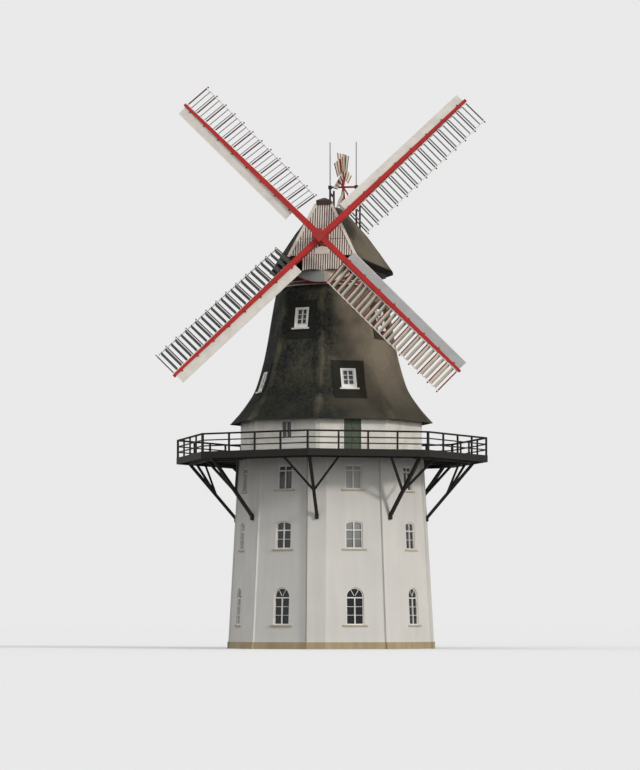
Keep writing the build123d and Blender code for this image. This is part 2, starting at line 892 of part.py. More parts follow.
stock_middle = stock_gap + stock_root / 2
stocks = {"front": (stock_rest_angle + 90, stock_middle), "rear": (stock_rest_angle, -stock_middle)}
with BuildPart() as windshaft:
    with BuildSketch(shaft_front):
        Circle(shaft_radius)
    extrude(amount=-shaft_back)
    add(arm_solid(stock_rest_angle, 0, [(end, poll_half, poll_reach) for end in (-poll_half, poll_half)]))
    add([stock_solid(*place) for place in stocks.values()], mode=Mode.SUBTRACT)
save(windshaft, "windshaft")

for name, place in stocks.items():
    with BuildPart() as stock:
        add(stock_solid(*place))
    save(stock, f"stock_{name}")


class Sail:
    """One sail: bars and hems that twist along the stock, a leading board and its shutters."""

    def __init__(self, angle, middle):
        self.angle = angle
        self.middle = middle
        self.radial = arm_point(angle, 1, 0, 0) - arm_point(angle, 0, 0, 0)

    def lean(self, along):
        """Angle of the sail to the plane that it turns in, in radians."""
        return radians(interpolate(((sail_root, weather_root), (sail_end, weather_tip)), along))

    def point(self, along, reach, lift=0.0, shift=0.0):
        """Point `reach` out along the bar at `along`, `lift` in front of it and `shift` beside it."""
        lean = self.lean(along)
        across = reach * cos(lean) + lift * sin(lean)
        forward = self.middle - reach * sin(lean) + lift * cos(lean)
        return arm_point(self.angle, along + shift, across, forward)

    def bar(self, along):
        """A bar from the side of the stock to a little past the outer hem."""
        lean, half, rise = self.lean(along), bar_width / 2, bar_depth / 2
        near, far = [], []
        for shift, lift in ((-half, -rise), (half, -rise), (half, rise), (-half, rise)):
            side = stock_half(along + shift) + sail_fit
            near.append(self.point(along, (side - lift * sin(lean)) / cos(lean), lift, shift))
            far.append(self.point(along, bar_reach, lift, shift))
        return ruled_solid([near, far])

    def hem(self, reach):
        """A strip along the sail that twists with the bars, at a reach for each place along it."""
        half, rise = hem_width / 2, bar_depth / 2
        places = [sail_root + bay * bar_pitch for bay in range(1, sail_bays)]
        places = [sail_root - bar_width / 2, *places, sail_end + bar_width / 2]
        corners = ((-half, -rise), (half, -rise), (half, rise), (-half, rise))
        return ruled_solid([
            [self.point(along, reach(along) + across, lift) for across, lift in corners]
            for along in places
        ])

    def board(self):
        """The leading board, which leans back a little on the other side of the stock."""
        back = board_width * sin(radians(board_lean))
        outlines = []
        for along in (sail_root, sail_end):
            near = -stock_half(along)
            far = near - board_width * cos(radians(board_lean))
            spots = ((near, 0), (near, board_depth), (far, board_depth - back), (far, -back))
            outlines.append([
                arm_point(self.angle, along, across, self.middle + forward) for across, forward in spots
            ])
        return ruled_solid(outlines)

    def shutter(self, along):
        """One shutter, opened about its long middle line, its front edge towards the hub."""
        start = self.point(along, inner_hem(along) + hem_width / 2 + sail_fit)
        end = self.point(along, outer_hem - hem_width / 2 - sail_fit)
        normal = (end - start).cross(self.radial).normalized()
        turn = radians(shutter_open)
        chord = self.radial * cos(turn) - normal * sin(turn)
        return beam(start, end, shutter_width, shutter_depth, chord)


bar_pitch = (sail_end - sail_root) / sail_bays
sails = {
    "upper_left": Sail(stock_rest_angle + 90, stock_middle),
    "upper_right": Sail(stock_rest_angle, -stock_middle),
    "lower_right": Sail(stock_rest_angle - 90, stock_middle),
    "lower_left": Sail(stock_rest_angle + 180, -stock_middle),
}
for name, sail in sails.items():
    with BuildPart() as lattice:
        add([sail.bar(sail_root + bay * bar_pitch) for bay in range(sail_bays + 1)])
        add([sail.hem(inner_hem), sail.hem(lambda along: outer_hem)])
    save(lattice, f"sail_frame_{name}")

    with BuildPart() as shutters:
        places = [bay + place for bay in range(sail_bays) for place in shutter_places]
        add([sail.shutter(sail_root + place * bar_pitch) for place in places])
    save(shutters, f"shutters_{name}")

with BuildPart() as leading_boards:
    add([sail.board() for sail in sails.values()])
save(leading_boards, "leading_boards")

# Fantail: an axle across the back of the cap, between two frames that stand on the cap beams
fan_side = Plane(origin=(0, fan_y, fan_height), x_dir=(0, 1, 0), z_dir=(1, 0, 0))
rear_y = fan_y + fan_post_spread
with BuildPart() as fan_frames:
    for x in (-fan_frame_x, fan_frame_x):
        for y in (fan_y, rear_y):
            with BuildSketch(Plane.XY.offset(beam_top)):
                with Locations((x, y)):
                    Rectangle(fan_post_width, fan_post_width)
            extrude(amount=fan_height - beam_top)
        for level in fan_tie_levels:
            add(level_bar(Vector(x, fan_y), Vector(x, rear_y), fan_post_width, fan_post_width, level))
        with Locations((x, fan_y, fan_height)):
            Box(fan_block, fan_block, fan_block)
    ends = (Vector(-fan_frame_x, rear_y), Vector(fan_frame_x, rear_y))
    add(level_bar(*ends, fan_post_width, fan_post_width, fan_tie_levels[0]))
    with BuildSketch(fan_side):
        Circle(fan_axle_radius + bearing_fit)
    extrude(amount=fan_frame_x + fan_block, both=True, mode=Mode.SUBTRACT)
save(fan_frames, "fan_frames")

block_top = fan_height + fan_block / 2
with BuildPart() as rods:
    with BuildSketch(Plane.XY.offset(block_top)):
        with Locations((-fan_frame_x, fan_y), (fan_frame_x, fan_y)):
            Circle(rod_radius)
    extrude(amount=rod_top - block_top)
save(rods, "fan_rods")


class Blade:
    """Directions of one blade of the fan: outwards, across it at its pitch, and square to both."""

    def __init__(self, number):
        angle = radians(fan_rest_angle + 360 * number / fan_blades)
        pitch = radians(fan_blade_pitch)
        self.outwards = Vector(0, cos(angle), sin(angle))
        self.across = Vector(sin(pitch), sin(angle) * cos(pitch), -cos(angle) * cos(pitch))
        self.normal = self.across.cross(self.outwards)

    def arm(self):
        """The bar that carries the blade."""
        tip = fan_side.origin + self.outwards * fan_radius
        return beam(fan_side.origin, tip, fan_arm_width, fan_arm_width, self.across)

    def board(self):
        """The board behind the arm, which widens outwards."""
        near = -fan_arm_width / 2
        outlines = []
        for along, width in zip((fan_blade_root, fan_radius), fan_blade_widths):
            middle = fan_side.origin + self.outwards * along
            spots = ((-1, 0), (1, 0), (1, -fan_blade_depth), (-1, -fan_blade_depth))
            outlines.append([
                middle + self.across * (way * width / 2) + self.normal * (near + lift)
                for way, lift in spots
            ])
        return ruled_solid(outlines)


fan_set = [Blade(number) for number in range(fan_blades)]
with BuildPart() as fan_hub:
    with BuildSketch(fan_side):
        Circle(fan_axle_radius)
    extrude(amount=fan_frame_x + fan_block / 2, both=True)
    with BuildSketch(fan_side):
        Circle(fan_hub_radius)
    extrude(amount=fan_axle_radius, both=True)
    add([blade.arm() for blade in fan_set])
save(fan_hub, "fan_hub")

with BuildPart() as blades:
    add([blade.board() for blade in fan_set])
save(blades, "fan_blades")
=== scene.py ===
# %% [markdown]
# # A gallery windmill, dressed over its solid model
# The solid model gives every wall, beam, bar and blade its true size and place. This lesson adds what is
# too fine for solids: glazing bars, lapped boards, striped gable boards, hems, planks and the finishes.
# Everything is in metres, with Z up, the tower's axis at x = y = 0 and the sails facing -Y.

import json
import math

import bpy
import numpy as np
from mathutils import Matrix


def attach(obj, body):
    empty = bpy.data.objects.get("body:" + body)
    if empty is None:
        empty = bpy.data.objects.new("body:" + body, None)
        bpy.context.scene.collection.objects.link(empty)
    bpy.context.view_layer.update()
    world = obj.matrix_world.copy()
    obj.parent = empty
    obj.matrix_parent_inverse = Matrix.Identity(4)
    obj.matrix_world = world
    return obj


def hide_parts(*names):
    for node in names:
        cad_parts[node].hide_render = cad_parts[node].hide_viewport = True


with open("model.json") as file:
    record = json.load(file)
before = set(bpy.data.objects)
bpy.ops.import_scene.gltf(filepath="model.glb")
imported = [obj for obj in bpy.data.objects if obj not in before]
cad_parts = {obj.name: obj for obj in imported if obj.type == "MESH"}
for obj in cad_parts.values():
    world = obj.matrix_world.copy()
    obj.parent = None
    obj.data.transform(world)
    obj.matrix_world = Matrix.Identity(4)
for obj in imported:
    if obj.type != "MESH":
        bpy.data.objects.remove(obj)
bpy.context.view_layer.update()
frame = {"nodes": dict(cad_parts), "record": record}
print("solid pieces:", len(frame["nodes"]))

# %% [markdown]
# ## The camera
# The picture was taken from far away with a long lens, standing on the ground a little to the right of
# the mill's front. A long lens keeps upright lines parallel, so the distance matters more than it seems:
# it sets how far the eye looks up under the gallery and the cap. The focal length is worked out from its
# size in pixels, because Blender's sensor width spans the longer side of the image.

# %% The camera's lens and place
distance, azimuth, pitch, eye_height = 195.0, 8.2, 4.27, 1.4
aim_left = 0.196
focal_pixels, long_side = 3218, 770
farthest = 3000

lens = bpy.data.cameras.new("camera")
lens.lens = focal_pixels * lens.sensor_width / long_side
lens.clip_end = farthest
camera = bpy.data.objects.new("camera", lens)
bpy.context.scene.collection.objects.link(camera)
camera.location = (
    distance * math.sin(math.radians(azimuth)),
    -distance * math.cos(math.radians(azimuth)),
    eye_height,
)
camera.rotation_euler = (math.radians(90 + pitch), 0, math.radians(azimuth + aim_left))
bpy.context.scene.camera = camera
bpy.context.scene.view_settings.view_transform = "Standard"
print("lens:", round(lens.lens, 1), "mm")

# %% [markdown]
# ## Writing shader maths as plain sums
# A pattern on a surface is a sum: so much of one noise, so much of another, and nothing outside a mask.
# Drawn by hand it is a web of Math nodes, but a sum is easier to read. One small class wraps an output
# socket, and its operators add the Math node that does the sum. The reflected operators let a number
# stand first, as in 1 - mask.

# %% A socket that can be added and multiplied


class Flow:
    """An output socket. Arithmetic with it adds Math nodes to the same material."""

    def __init__(self, finish, socket):
        self.finish, self.socket = finish, socket

    def math(self, operation, other=0.0, swapped=False):
        pair = (other, self) if swapped else (self, other)
        return self.finish.node("ShaderNodeMath", {"operation": operation}, dict(enumerate(pair)))

    def __add__(self, other):
        return self.math("ADD", other)

    def __sub__(self, other):
        return self.math("SUBTRACT", other)

    def __rsub__(self, other):
        return self.math("SUBTRACT", other, swapped=True)

    def __mul__(self, other):
        return self.math("MULTIPLY", other)

    __radd__, __rmul__ = __add__, __mul__


print("sums of sockets: + - *")

# %% [markdown]
# ## A finish that is being built
# Lime, paint, stain and reed are made alike: noises on the object's own coordinates mix a clean and a
# worn colour and raise the surface a little. A second class holds the nodes of one material, or of the
# world, and one method of it makes any node. Colours are written as they look on a screen, because that
# is how they are read off a real surface, and are made linear before a shader gets them.

# %% Colours and finishes


def paint(red, green, blue):
    """Linear colour of a paint given as it looks on a screen, from 0 to 255."""
    shown = np.array([red, green, blue]) / 255
    return tuple(np.where(shown > 0.04045, ((shown + 0.055) / 1.055) ** 2.4, shown / 12.92)) + (1.0,)


def grey(level):
    """A neutral colour, given by its linear level."""
    return level, level, level, 1


class Finish:
    """The nodes of a material, or of the world, and helpers for the patterns that feed its shader."""

    def __init__(self, owner, shader="Principled BSDF"):
        owner.use_nodes = True
        self.owner, self.tree = owner, owner.node_tree
        self.shader = self.tree.nodes[shader]

    def node(self, kind, settings=None, values=None, output=0):
        """Any node: its settings first, then a value or a link for each socket that is named."""
        made = self.tree.nodes.new(kind)
        for key, value in (settings or {}).items():
            if key == "stops":
                made.color_ramp.elements[0].position, made.color_ramp.elements[1].position = value
            else:
                setattr(made, key, value)
        for key, value in (values or {}).items():
            self.give(made.inputs[key], value)
        return Flow(self, made.outputs[output])

    def give(self, socket, value):
        """Links a flow to a socket, or sets its value."""
        if isinstance(value, Flow):
            self.tree.links.new(value.socket, socket)
        else:
            socket.default_value = value

    def place(self, ways):
        """The object's own coordinates, one for each letter of `ways`."""
        spot = self.node("ShaderNodeTexCoord", output="Object")
        return [self.node("ShaderNodeSeparateXYZ", values={0: spot}, output=way) for way in ways]

    def grain(self, scale, stretch=(1, 1, 1), detail=4.0):
        """Noise on the object's own coordinates, from 0 to 1, drawn out along an axis by a low stretch."""
        spot = self.node("ShaderNodeTexCoord", output="Object")
        spot = self.node("ShaderNodeMapping", values={"Vector": spot, "Scale": stretch})
        return self.node("ShaderNodeTexNoise", values={"Vector": spot, "Scale": scale, "Detail": detail})

    def ramp(self, value, low, high):
        """The value spread so that low becomes 0 and high becomes 1. Both lie between 0 and 1."""
        return self.node("ShaderNodeValToRGB", {"stops": (low, high)}, {"Fac": value})

    def mix(self, share, first, second):
        """The first colour where the share is 0, the second where it is 1."""
        return self.node("ShaderNodeMix", {"data_type": "RGBA"}, {0: share, 6: first, 7: second}, output=2)

    def dusty(self, share, tone, dust):
        """The tone, and half dust where the share is 1."""
        return self.mix(share, tone, self.mix(0.5, tone, dust))

    def bump(self, height, depth, strength=1.0):
        """Normals of a surface raised by up to `depth` metres where the height is 1."""
        values = {"Height": height, "Distance": depth, "Strength": strength}
        return self.node("ShaderNodeBump", values=values, output="Normal")

    def shown(self):
        """1 for the rays that bring this surface to the eye: straight, mirrored or through glass."""
        kinds = ("Is Camera Ray", "Is Glossy Ray", "Is Transmission Ray")
        straight, mirrored, through = (self.node("ShaderNodeLightPath", output=kind) for kind in kinds)
        return straight.math("MAXIMUM", mirrored).math("MAXIMUM", through)

    def feed(self, **sockets):
        """Gives the shader's sockets their values; underscores in a name stand for spaces."""
        for key, value in sockets.items():
            self.give(self.shader.inputs[key.replace("_", " ")], value)
        return self.owner


def blank(name):
    """A new material that is still plain."""
    return Finish(bpy.data.materials.new(name))


print("mid grey on a screen is", round(paint(128, 128, 128)[0], 3), "of white")

# %% [markdown]
# ## Lime render and stone
# The base is brick under a smooth white render. Rain leaves faint upright streaks and broad warm
# patches, and nothing else breaks it. Two noises do this: one drawn out along Z for the streaks, one
# round for the patches. The plinth and the sills get the same treatment in their own colours.

# %% Masonry finishes
finishes = {}


def masonry(slot, light, dark):
    """Rendered wall: patches and upright streaks between two close colours, with a fine tooth."""
    made = blank(slot)
    patches = made.grain(0.45, detail=5.0)
    streaks = made.grain(2.2, stretch=(1, 1, 0.07), detail=6.0)
    share = made.ramp(patches * 0.55 + streaks * 0.45, 0.35, 0.68)
    tooth = made.grain(38.0, detail=3.0) * 0.6 + patches * 0.8
    normal = made.bump(tooth, depth=0.004, strength=0.5)
    finishes[slot] = made.feed(Base_Color=made.mix(share, light, dark), Roughness=0.9, Normal=normal)


masonry("render", paint(224, 221, 214), paint(212, 209, 203))
masonry("plinth_stone", paint(190, 172, 138), paint(158, 142, 112))
masonry("sill_stone", paint(204, 190, 164), paint(178, 164, 140))
print("masonry:", sorted(finishes))

# %% [markdown]
# ## Painted and stained timber
# Nearly all the rest is timber: white windows and boards, red stocks, a dark stained gallery. Grain
# could be a noise drawn out along each board, but the boards run in every direction. So the grain stays
# faint and round, and the weathering comes from a broad noise that dulls the paint.

# %% Timber finishes


def timber(slot, clean, worn, roughness=0.55, relief=0.0015):
    """Paint or stain over wood, worn in broad patches, rougher where it is worn."""
    made = blank(slot)
    patches = made.grain(1.3, detail=6.0)
    fibres = made.grain(24.0, detail=4.0)
    share = made.ramp(patches * 0.75 + fibres * 0.25, 0.42, 0.72)
    finishes[slot] = made.feed(
        Base_Color=made.mix(share, clean, worn), Roughness=patches * 0.25 + (roughness - 0.12),
        Specular_IOR_Level=0.3, Normal=made.bump(fibres, relief, strength=0.6),
    )


timber("window_wood", paint(238, 236, 230), paint(214, 210, 200), 0.45)
timber("door_green", paint(72, 84, 66), paint(86, 94, 76), 0.5)
timber("weatherboard", paint(236, 232, 223), paint(212, 206, 194))
timber("gallery_timber", paint(28, 26, 23), paint(42, 38, 32), 0.8, 0.004)
timber("floor_boards", paint(150, 124, 92), paint(120, 98, 70), 0.7)
timber("curb_timber", paint(38, 33, 31), paint(52, 44, 40), 0.8, 0.004)
timber("gable_boards", paint(98, 66, 62), paint(84, 60, 57), 0.7)
timber("hood_timber", paint(72, 56, 50), paint(52, 42, 38), 0.75, 0.004)
timber("stock_red", paint(182, 38, 34), paint(156, 35, 31), 0.5)
timber("sail_white", paint(236, 230, 218), paint(224, 217, 204), 0.55, 0.0003)
timber("hem_white", paint(252, 248, 242), paint(240, 236, 228), 0.5, 0.0003)
timber("fan_white", paint(226, 216, 198), paint(204, 190, 168), 0.55)
timber("fan_red", paint(150, 46, 42), paint(120, 40, 38), 0.55)
timber("fan_timber", paint(58, 42, 44), paint(44, 36, 36), 0.7, 0.003)
print("finishes so far:", len(finishes))

# %% [markdown]
# ## Paint of the sails
# The sail that rests at the lower right stands in the sun. Its shutters and red bars are painted in their
# sunlit colours, and those of the other three in painted shade: the shutters a grey-green and the bars a
# dark red. The leading board of the lower right sail is a grey, and those of the other three a warm white.
# Each sail could have materials of its own, but a place in the sails' plane tells the four apart as well:
# x less the height above the hub is large on that sail alone. A ramp works on values from 0 to 1, so
# metres are divided by 10 before it.

# %% Finishes that differ from sail to sail
shaft_lean, hub_forward, hub_height = math.radians(12), 4.5, 24.5
sail_root, sail_end, bays = 2.25, 11.93, 12
bar_pitch = (sail_end - sail_root) / bays
shutter_start, shutter_share = 0.015, 0.43


def sail_paint(name, sunny, dull, shaded=None):
    """Paint that is `sunny` on the lower right sail and `dull` on the other three.

    A shutter is `shaded` on its half towards the tip: painted shade, which grows weaker towards the tip.
    For shutters and bars the sunny paint is the sunlit copy, and the paint of the other three sails is the
    shaded
    copy: painted sunlight and painted shade. The way along a sail is (|x| + |up|) / root 2, with `up`
    measured in the plane in which the sails turn, and two shutters follow each bar.
    """
    made = blank(name)
    x, y, z = made.place("XYZ")
    # painted sunlight and shade: the lower right sail takes the sunlit copy of the paint, the other three
    # the shaded copy
    lower_right = made.ramp((x - z + hub_height) * 0.1, 0.27, 0.30)
    worn = made.ramp(made.grain(2.0, detail=6.0), 0.42, 0.7)
    # painted shade on the half of each shutter towards the tip, weaker towards the tip
    if shaded:
        up = (y + hub_forward) * math.sin(shaft_lean) + (z - hub_height) * math.cos(shaft_lean)
        along = (x.math("ABSOLUTE") + up.math("ABSOLUTE")) * math.sqrt(0.5)
        bay = ((along - sail_root) * (1 / bar_pitch)).math("FRACT")
        shutter = ((bay + shutter_start) * (1 / shutter_share)).math("FRACT")
        fading = 1.1 - along * 0.07
        sunny = made.mix(made.ramp(shutter, 0.42, 0.62) * fading, sunny, shaded)
    tone = made.dusty(worn * 0.35, made.mix(lower_right, dull, sunny), paint(120, 112, 100))
    return made.feed(Base_Color=tone, Roughness=0.6, Specular_IOR_Level=0.3)


finishes["shutter_white"] = sail_paint(
    "shutter_white", paint(246, 238, 222), paint(92, 99, 95), paint(110, 100, 80)
)
bar_red = sail_paint("bar_red", paint(146, 36, 42), paint(86, 34, 46))
board_white = sail_paint("board_white", paint(172, 172, 172), paint(230, 224, 214))
print("from bar to bar:", round(bar_pitch, 3), "m")

# %% [markdown]
# ## The two boards of the apron
# The apron under the gable is made of two boards that meet in front. The left one faces away from the sun
# and is painted in shade, a cool grey, and the right one is painted sunlit, a warm white. Two pieces with
# two materials would do it too, but one ramp on x changes the paint at their joint and keeps the apron one
# piece.

# %% Apron finish
apron = blank("apron_boards")
(x,) = apron.place("X")
# painted shade and sunlight: the left board a shaded cool grey, the right one a sunlit warm white
sunlit_right_board = apron.ramp(x + 0.5, 0.62, 0.66)
tone = apron.mix(sunlit_right_board, paint(178, 184, 179), paint(226, 214, 197))
weather = apron.ramp(apron.grain(1.6, detail=5.0), 0.4, 0.7) * 0.4
tone = apron.dusty(weather, tone, paint(150, 146, 138))
finishes["apron_boards"] = apron.feed(Base_Color=tone, Roughness=0.6, Specular_IOR_Level=0.3)
print("apron: two boards")

# %% [markdown]
# ## Painted iron and dull metal
# The windshaft is iron under old red paint. The rods beside the fan and the rain pipe are metal gone
# dull. Wear on metal shows in its gloss more than in its colour, so the colour is even and one noise
# changes the roughness.

# %% Metal finishes


def metal(slot, colour, roughness, metallic=0.0):
    """Painted iron or steel, with a little uneven gloss."""
    made = blank(slot)
    gloss = made.grain(3.0, detail=5.0) * 0.3 + (roughness - 0.15)
    finishes[slot] = made.feed(Base_Color=colour, Roughness=gloss, Metallic=metallic)


metal("shaft_iron", paint(158, 34, 30), 0.7)
metal("rod_metal", paint(146, 146, 150), 0.45, 0.3)
metal("pipe_metal", paint(168, 165, 156), 0.5, 0.2)
print("finishes so far:", len(finishes))

# %% [markdown]
# ## Window glass
# A pane is dark, because the room behind it is. Clear glass would need rooms to look into, so the pane
# itself takes the colour of what shows through it. Below the gallery, right of the middle, that is pale
# curtains, paler from storey to storey.

# %% Glass finish
curtain_left, curtain_right, curtain_top, curtain_low = 0.5, 4.0, 11.5, 4.0
glass = blank("glass")
x, level = glass.place("XZ")
beside = x.math("GREATER_THAN", curtain_left) * x.math("LESS_THAN", curtain_right)
curtained = beside * level.math("LESS_THAN", curtain_top)
curtains = glass.ramp((level - curtain_low) * 0.2, 0.0, 1.0) * (curtained * 0.85 + 0.15)
tone = glass.mix(curtains, paint(28, 30, 35), paint(178, 180, 180))
finishes["glass"] = glass.feed(Base_Color=tone, Roughness=0.1, Specular_IOR_Level=0.3)
print("glass: dark, with curtains from", curtain_left, "to", curtain_right)

# %% [markdown]
# ## Thatch
# Thatch is reed laid with its stems downwards. From afar it is a dark grey-brown mass with mossy
# clouds, and close by it is upright fibres. Modelling the stems would take millions of faces, so both
# are noise: round for the clouds, drawn out along Z for the stems, which also raise the surface. Masks
# on the place do the rest. The reed is pale on the side to the sun, partly as reed dried by the sun and
# partly as painted sunlight, and dark on the other side, partly damp and partly painted shade. It stays
# wet at the flared foot, is paler along the eight arrises, and the cap's underside is painted near black
# as painted shade.

# %% Thatch finishes
sides = 8
smock_top, wet_line, cap_edge = 21.9, 17.2, 22.81
sun_bearing = math.radians(32)


def reed(name, damp_and_shaded, moss, dry_and_sunlit, ridge):
    """Thatch between three colours, with `ridge` as the share of pale reed along the arrises.

    The lower edge of the cap rises towards its front, by 0.1 m and then by 0.3 m more, and reed that is
    no higher than that edge is the cap's underside, painted near black as painted shade. The reed towards
    the sun is painted pale, partly as dried reed and partly as painted sunlight.
    """
    made = blank(name)
    clouds, specks = made.grain(0.7, detail=9.0), made.grain(5.0, detail=7.0)
    stems = made.grain(22.0, stretch=(1, 1, 0.08), detail=3.0)
    east, north, height = made.place("XYZ")
    bearing = north.math("ARCTAN2", east)
    sunward = (bearing + sun_bearing).math("COSINE")
    smock = height.math("LESS_THAN", smock_top)
    mossy = made.ramp(clouds * 0.4 + specks * 0.35 + stems * 0.25 + sunward * 0.08, 0.44, 0.66)
    # partly painted sunlight: the reed towards the sun is paler, both as dried reed and as painted light
    dried_and_sunlit = made.ramp((sunward + clouds * 0.5) * 0.5, 0.44, 0.62) * (smock * 0.35 + 0.55)
    wet = made.ramp((wet_line - height + clouds) * 0.25, 0.1, 0.9)
    front = north * -0.3
    edge = cap_edge + made.ramp(front, 0.0, 0.57) * 0.1 + made.ramp(front, 0.57, 0.99) * 0.3
    # painted shade: reed no higher than the cap's lower edge is the cap's underside, painted near black
    under = (1.0 - made.ramp(height - edge, 0.05, 0.11)) * (1.0 - smock)
    fold = (bearing * sides).math("COSINE")
    arris = made.ramp((fold + clouds * 0.5) * 0.5, 0.57, 0.67) * smock * ridge
    tone = made.mix(mossy, damp_and_shaded, moss)
    tone = made.mix(dried_and_sunlit, tone, made.mix(stems * 0.5 + specks * 0.5, dry_and_sunlit, moss))
    tone = made.mix(wet * (0.65 + dried_and_sunlit * 0.1), tone, paint(30, 32, 27))
    tone = made.mix(under * 0.9, tone, paint(16, 15, 14))
    return made.feed(
        Base_Color=made.mix(arris, tone, paint(124, 117, 92)), Roughness=0.97, Specular_IOR_Level=0.12,
        Normal=made.bump(stems * 0.7 + specks * 0.7 + clouds * 1.2, depth=0.05, strength=0.8),
    )


finishes["thatch"] = reed("thatch", paint(34, 38, 38), paint(88, 84, 70), paint(160, 144, 126), 0.4)
new_thatch = reed("new_thatch", paint(38, 38, 35), paint(50, 49, 43), paint(66, 60, 50), 0.0)
print("all finishes:", len(finishes))

# %% [markdown]
# ## Dressing the solid model
# Each solid piece names its slot, such as thatch or stock_red, so one loop can give every piece the
# finish of its slot. The lattices and leading boards of the sails come after it, because their paint
# differs from sail to sail.

# %% Every solid piece gets its finish


def dress(name, finish):
    """The solid piece of that name wears this finish alone."""
    mesh = frame["nodes"][name].data
    mesh.materials.clear()
    mesh.materials.append(finish)


for entry in frame["record"]["subparts"]:
    dress(entry["node"], finishes[entry["material_slot"]])
for name in frame["nodes"]:
    if name.startswith("sail_frame_"):
        dress(name, bar_red)
dress("leading_boards", board_white)

# %% [markdown]
# ## Shapes from arrays
# A board, a hem or a ring is one flat outline carried along a path. Hundreds of them can be worked out
# together as one array: first the frame at each point of each path, then the outline placed in every
# frame at once. Both ends are closed with one face, so each board is a closed solid with outward faces.

# %% An outline carried along many paths


def rectangle(width, depth):
    """Corners of a rectangle about 0, anticlockwise."""
    return np.array([(-1, -1), (1, -1), (1, 1), (-1, 1)]) * (width / 2, depth / 2)


def unit(vectors):
    """Each vector divided by its length."""
    return vectors / np.linalg.norm(vectors, axis=-1, keepdims=True)


def tubes(points):
    """Closed skins on points[tube, station, corner]: quads between stations and a face on both ends."""
    index = np.arange(points[..., 0].size).reshape(points.shape[:3])
    beside = np.roll(index, -1, axis=2)
    skin = np.stack([index[:, :-1], beside[:, :-1], beside[:, 1:], index[:, 1:]], axis=-1).reshape(-1, 4)
    return points.reshape(-1, 3), [skin, index[:, 0, ::-1], index[:, -1]]


def carry(paths, side, outline):
    """An outline (u, v) carried along paths: each point p becomes p + u * a + v * b.

    a is `side` made square to the path's direction t, and b = t x a.
    """
    paths = np.asarray(paths, float)
    ahead = unit(np.gradient(paths, axis=1))
    side = np.broadcast_to(np.asarray(side, float), paths.shape)
    a = unit(side - ahead * np.sum(side * ahead, axis=-1, keepdims=True))
    b = np.cross(ahead, a)
    u, v = outline[:, :1], outline[:, 1:]
    return tubes(paths[..., None, :] + u * a[..., None, :] + v * b[..., None, :])


def bars(starts, ends, side, width, depth):
    """Straight bars between two lists of points, `width` along `side`."""
    paths = np.stack(np.broadcast_arrays(starts, ends), axis=1)
    side = np.asarray(side, float)
    return carry(paths, side[:, None] if side.ndim == 2 else side, rectangle(width, depth))


upwards = (0, 0, 1)
corners, skins = bars(np.zeros((1, 3)), np.array([upwards]), (1, 0, 0), 0.1, 0.1)
print("one board has", len(corners), "corners and", sum(len(skin) for skin in skins), "faces")

# %% [markdown]
# ## From arrays to a piece that moves
# What belongs together on the mill, such as all its glazing bars, is joined into one mesh, because an
# object for each bar would bury the few that move. The mesh stays at the origin with its place in its
# points, and the piece rides on one body of the solid model: what rides on the cap turns with the cap.

# %% A finished piece


def join(parts):
    """Several shapes as one: the faces of each count on from the points before it."""
    points, faces, first = [], [], 0
    for these, skins in parts:
        points.append(these)
        faces += [first + skin for skin in skins]
        first += len(these)
    return np.concatenate(points), faces


def piece(name, shape, body, slot, finish=None):
    """Makes a mesh from a shape, and has it ride on a body of the solid model."""
    points, skins = shape
    mesh = bpy.data.meshes.new(name)
    mesh.from_pydata(points.tolist(), [], [face for skin in skins for face in skin.tolist()])
    mesh.materials.append(finish or finishes[slot])
    made = bpy.data.objects.new(name, mesh)
    bpy.context.scene.collection.objects.link(made)
    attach(made, body)
    print(name, "faces:", len(mesh.polygons))
    return made


print("a piece rides on tower, cap, sails or fan")

# %% [markdown]
# ## Places on an eight-sided tower
# Every wall repeats eight times, turned by 45 degrees. A point on a wall is given by its side, how far
# it is to the right, its height, and how far it stands out. The tower narrows upwards, so the distance
# of a wall from the axis is looked up from a small table of heights and corner radii.

# %% Points on a side of the tower
to_flat = math.cos(math.pi / sides)
base_table = ((0.41, 6.31), (11.54, 5.70))
upper_table = ((11.54, 5.56), (13.75, 5.56))
thatch_table = (
    (13.58, 6.24), (14.0, 5.84), (14.4, 5.5), (14.83, 5.18), (15.5, 4.75),
    (16.2, 4.48), (17.6, 4.1), (19.5, 3.75), (21.45, 3.4), (21.8, 3.0),
)


def directions(angle):
    """Level directions out and to the right, for an angle in degrees, or for several."""
    a = np.radians(angle)
    zero = np.zeros_like(a)
    return np.stack([np.cos(a), np.sin(a), zero], -1), np.stack([-np.sin(a), np.cos(a), zero], -1)


def facing(side):
    """Level directions out of a side and to its right. Side 0 is the first one right of the front."""
    return directions(-90 + 180 / sides * (2 * side + 1))


def on_wall(side, table, right, height, out):
    """Points on a wall: (flat distance + out) outwards, `right` to the right, at a height."""
    right, height, out = np.broadcast_arrays(right, height, out)
    outward, rightward = facing(side)
    reach = np.interp(height, *np.array(table).T) * to_flat + out
    return reach[..., None] * outward + right[..., None] * rightward + height[..., None] * upwards


print("flat distance at the ground:", round(base_table[0][1] * to_flat, 3))

# %% [markdown]
# ## Glazing bars
# A window frame in the solid model has only its main posts and transoms. Real casements divide the
# glass further with thin bars. The ground storey gets two bars and the rays of a round fanlight, the
# next one a single bar, and the top one keeps its tall panes. Each bar is a thin straight board in front
# of the glass. A grille drawn in the material would be quicker, but it would have no depth.

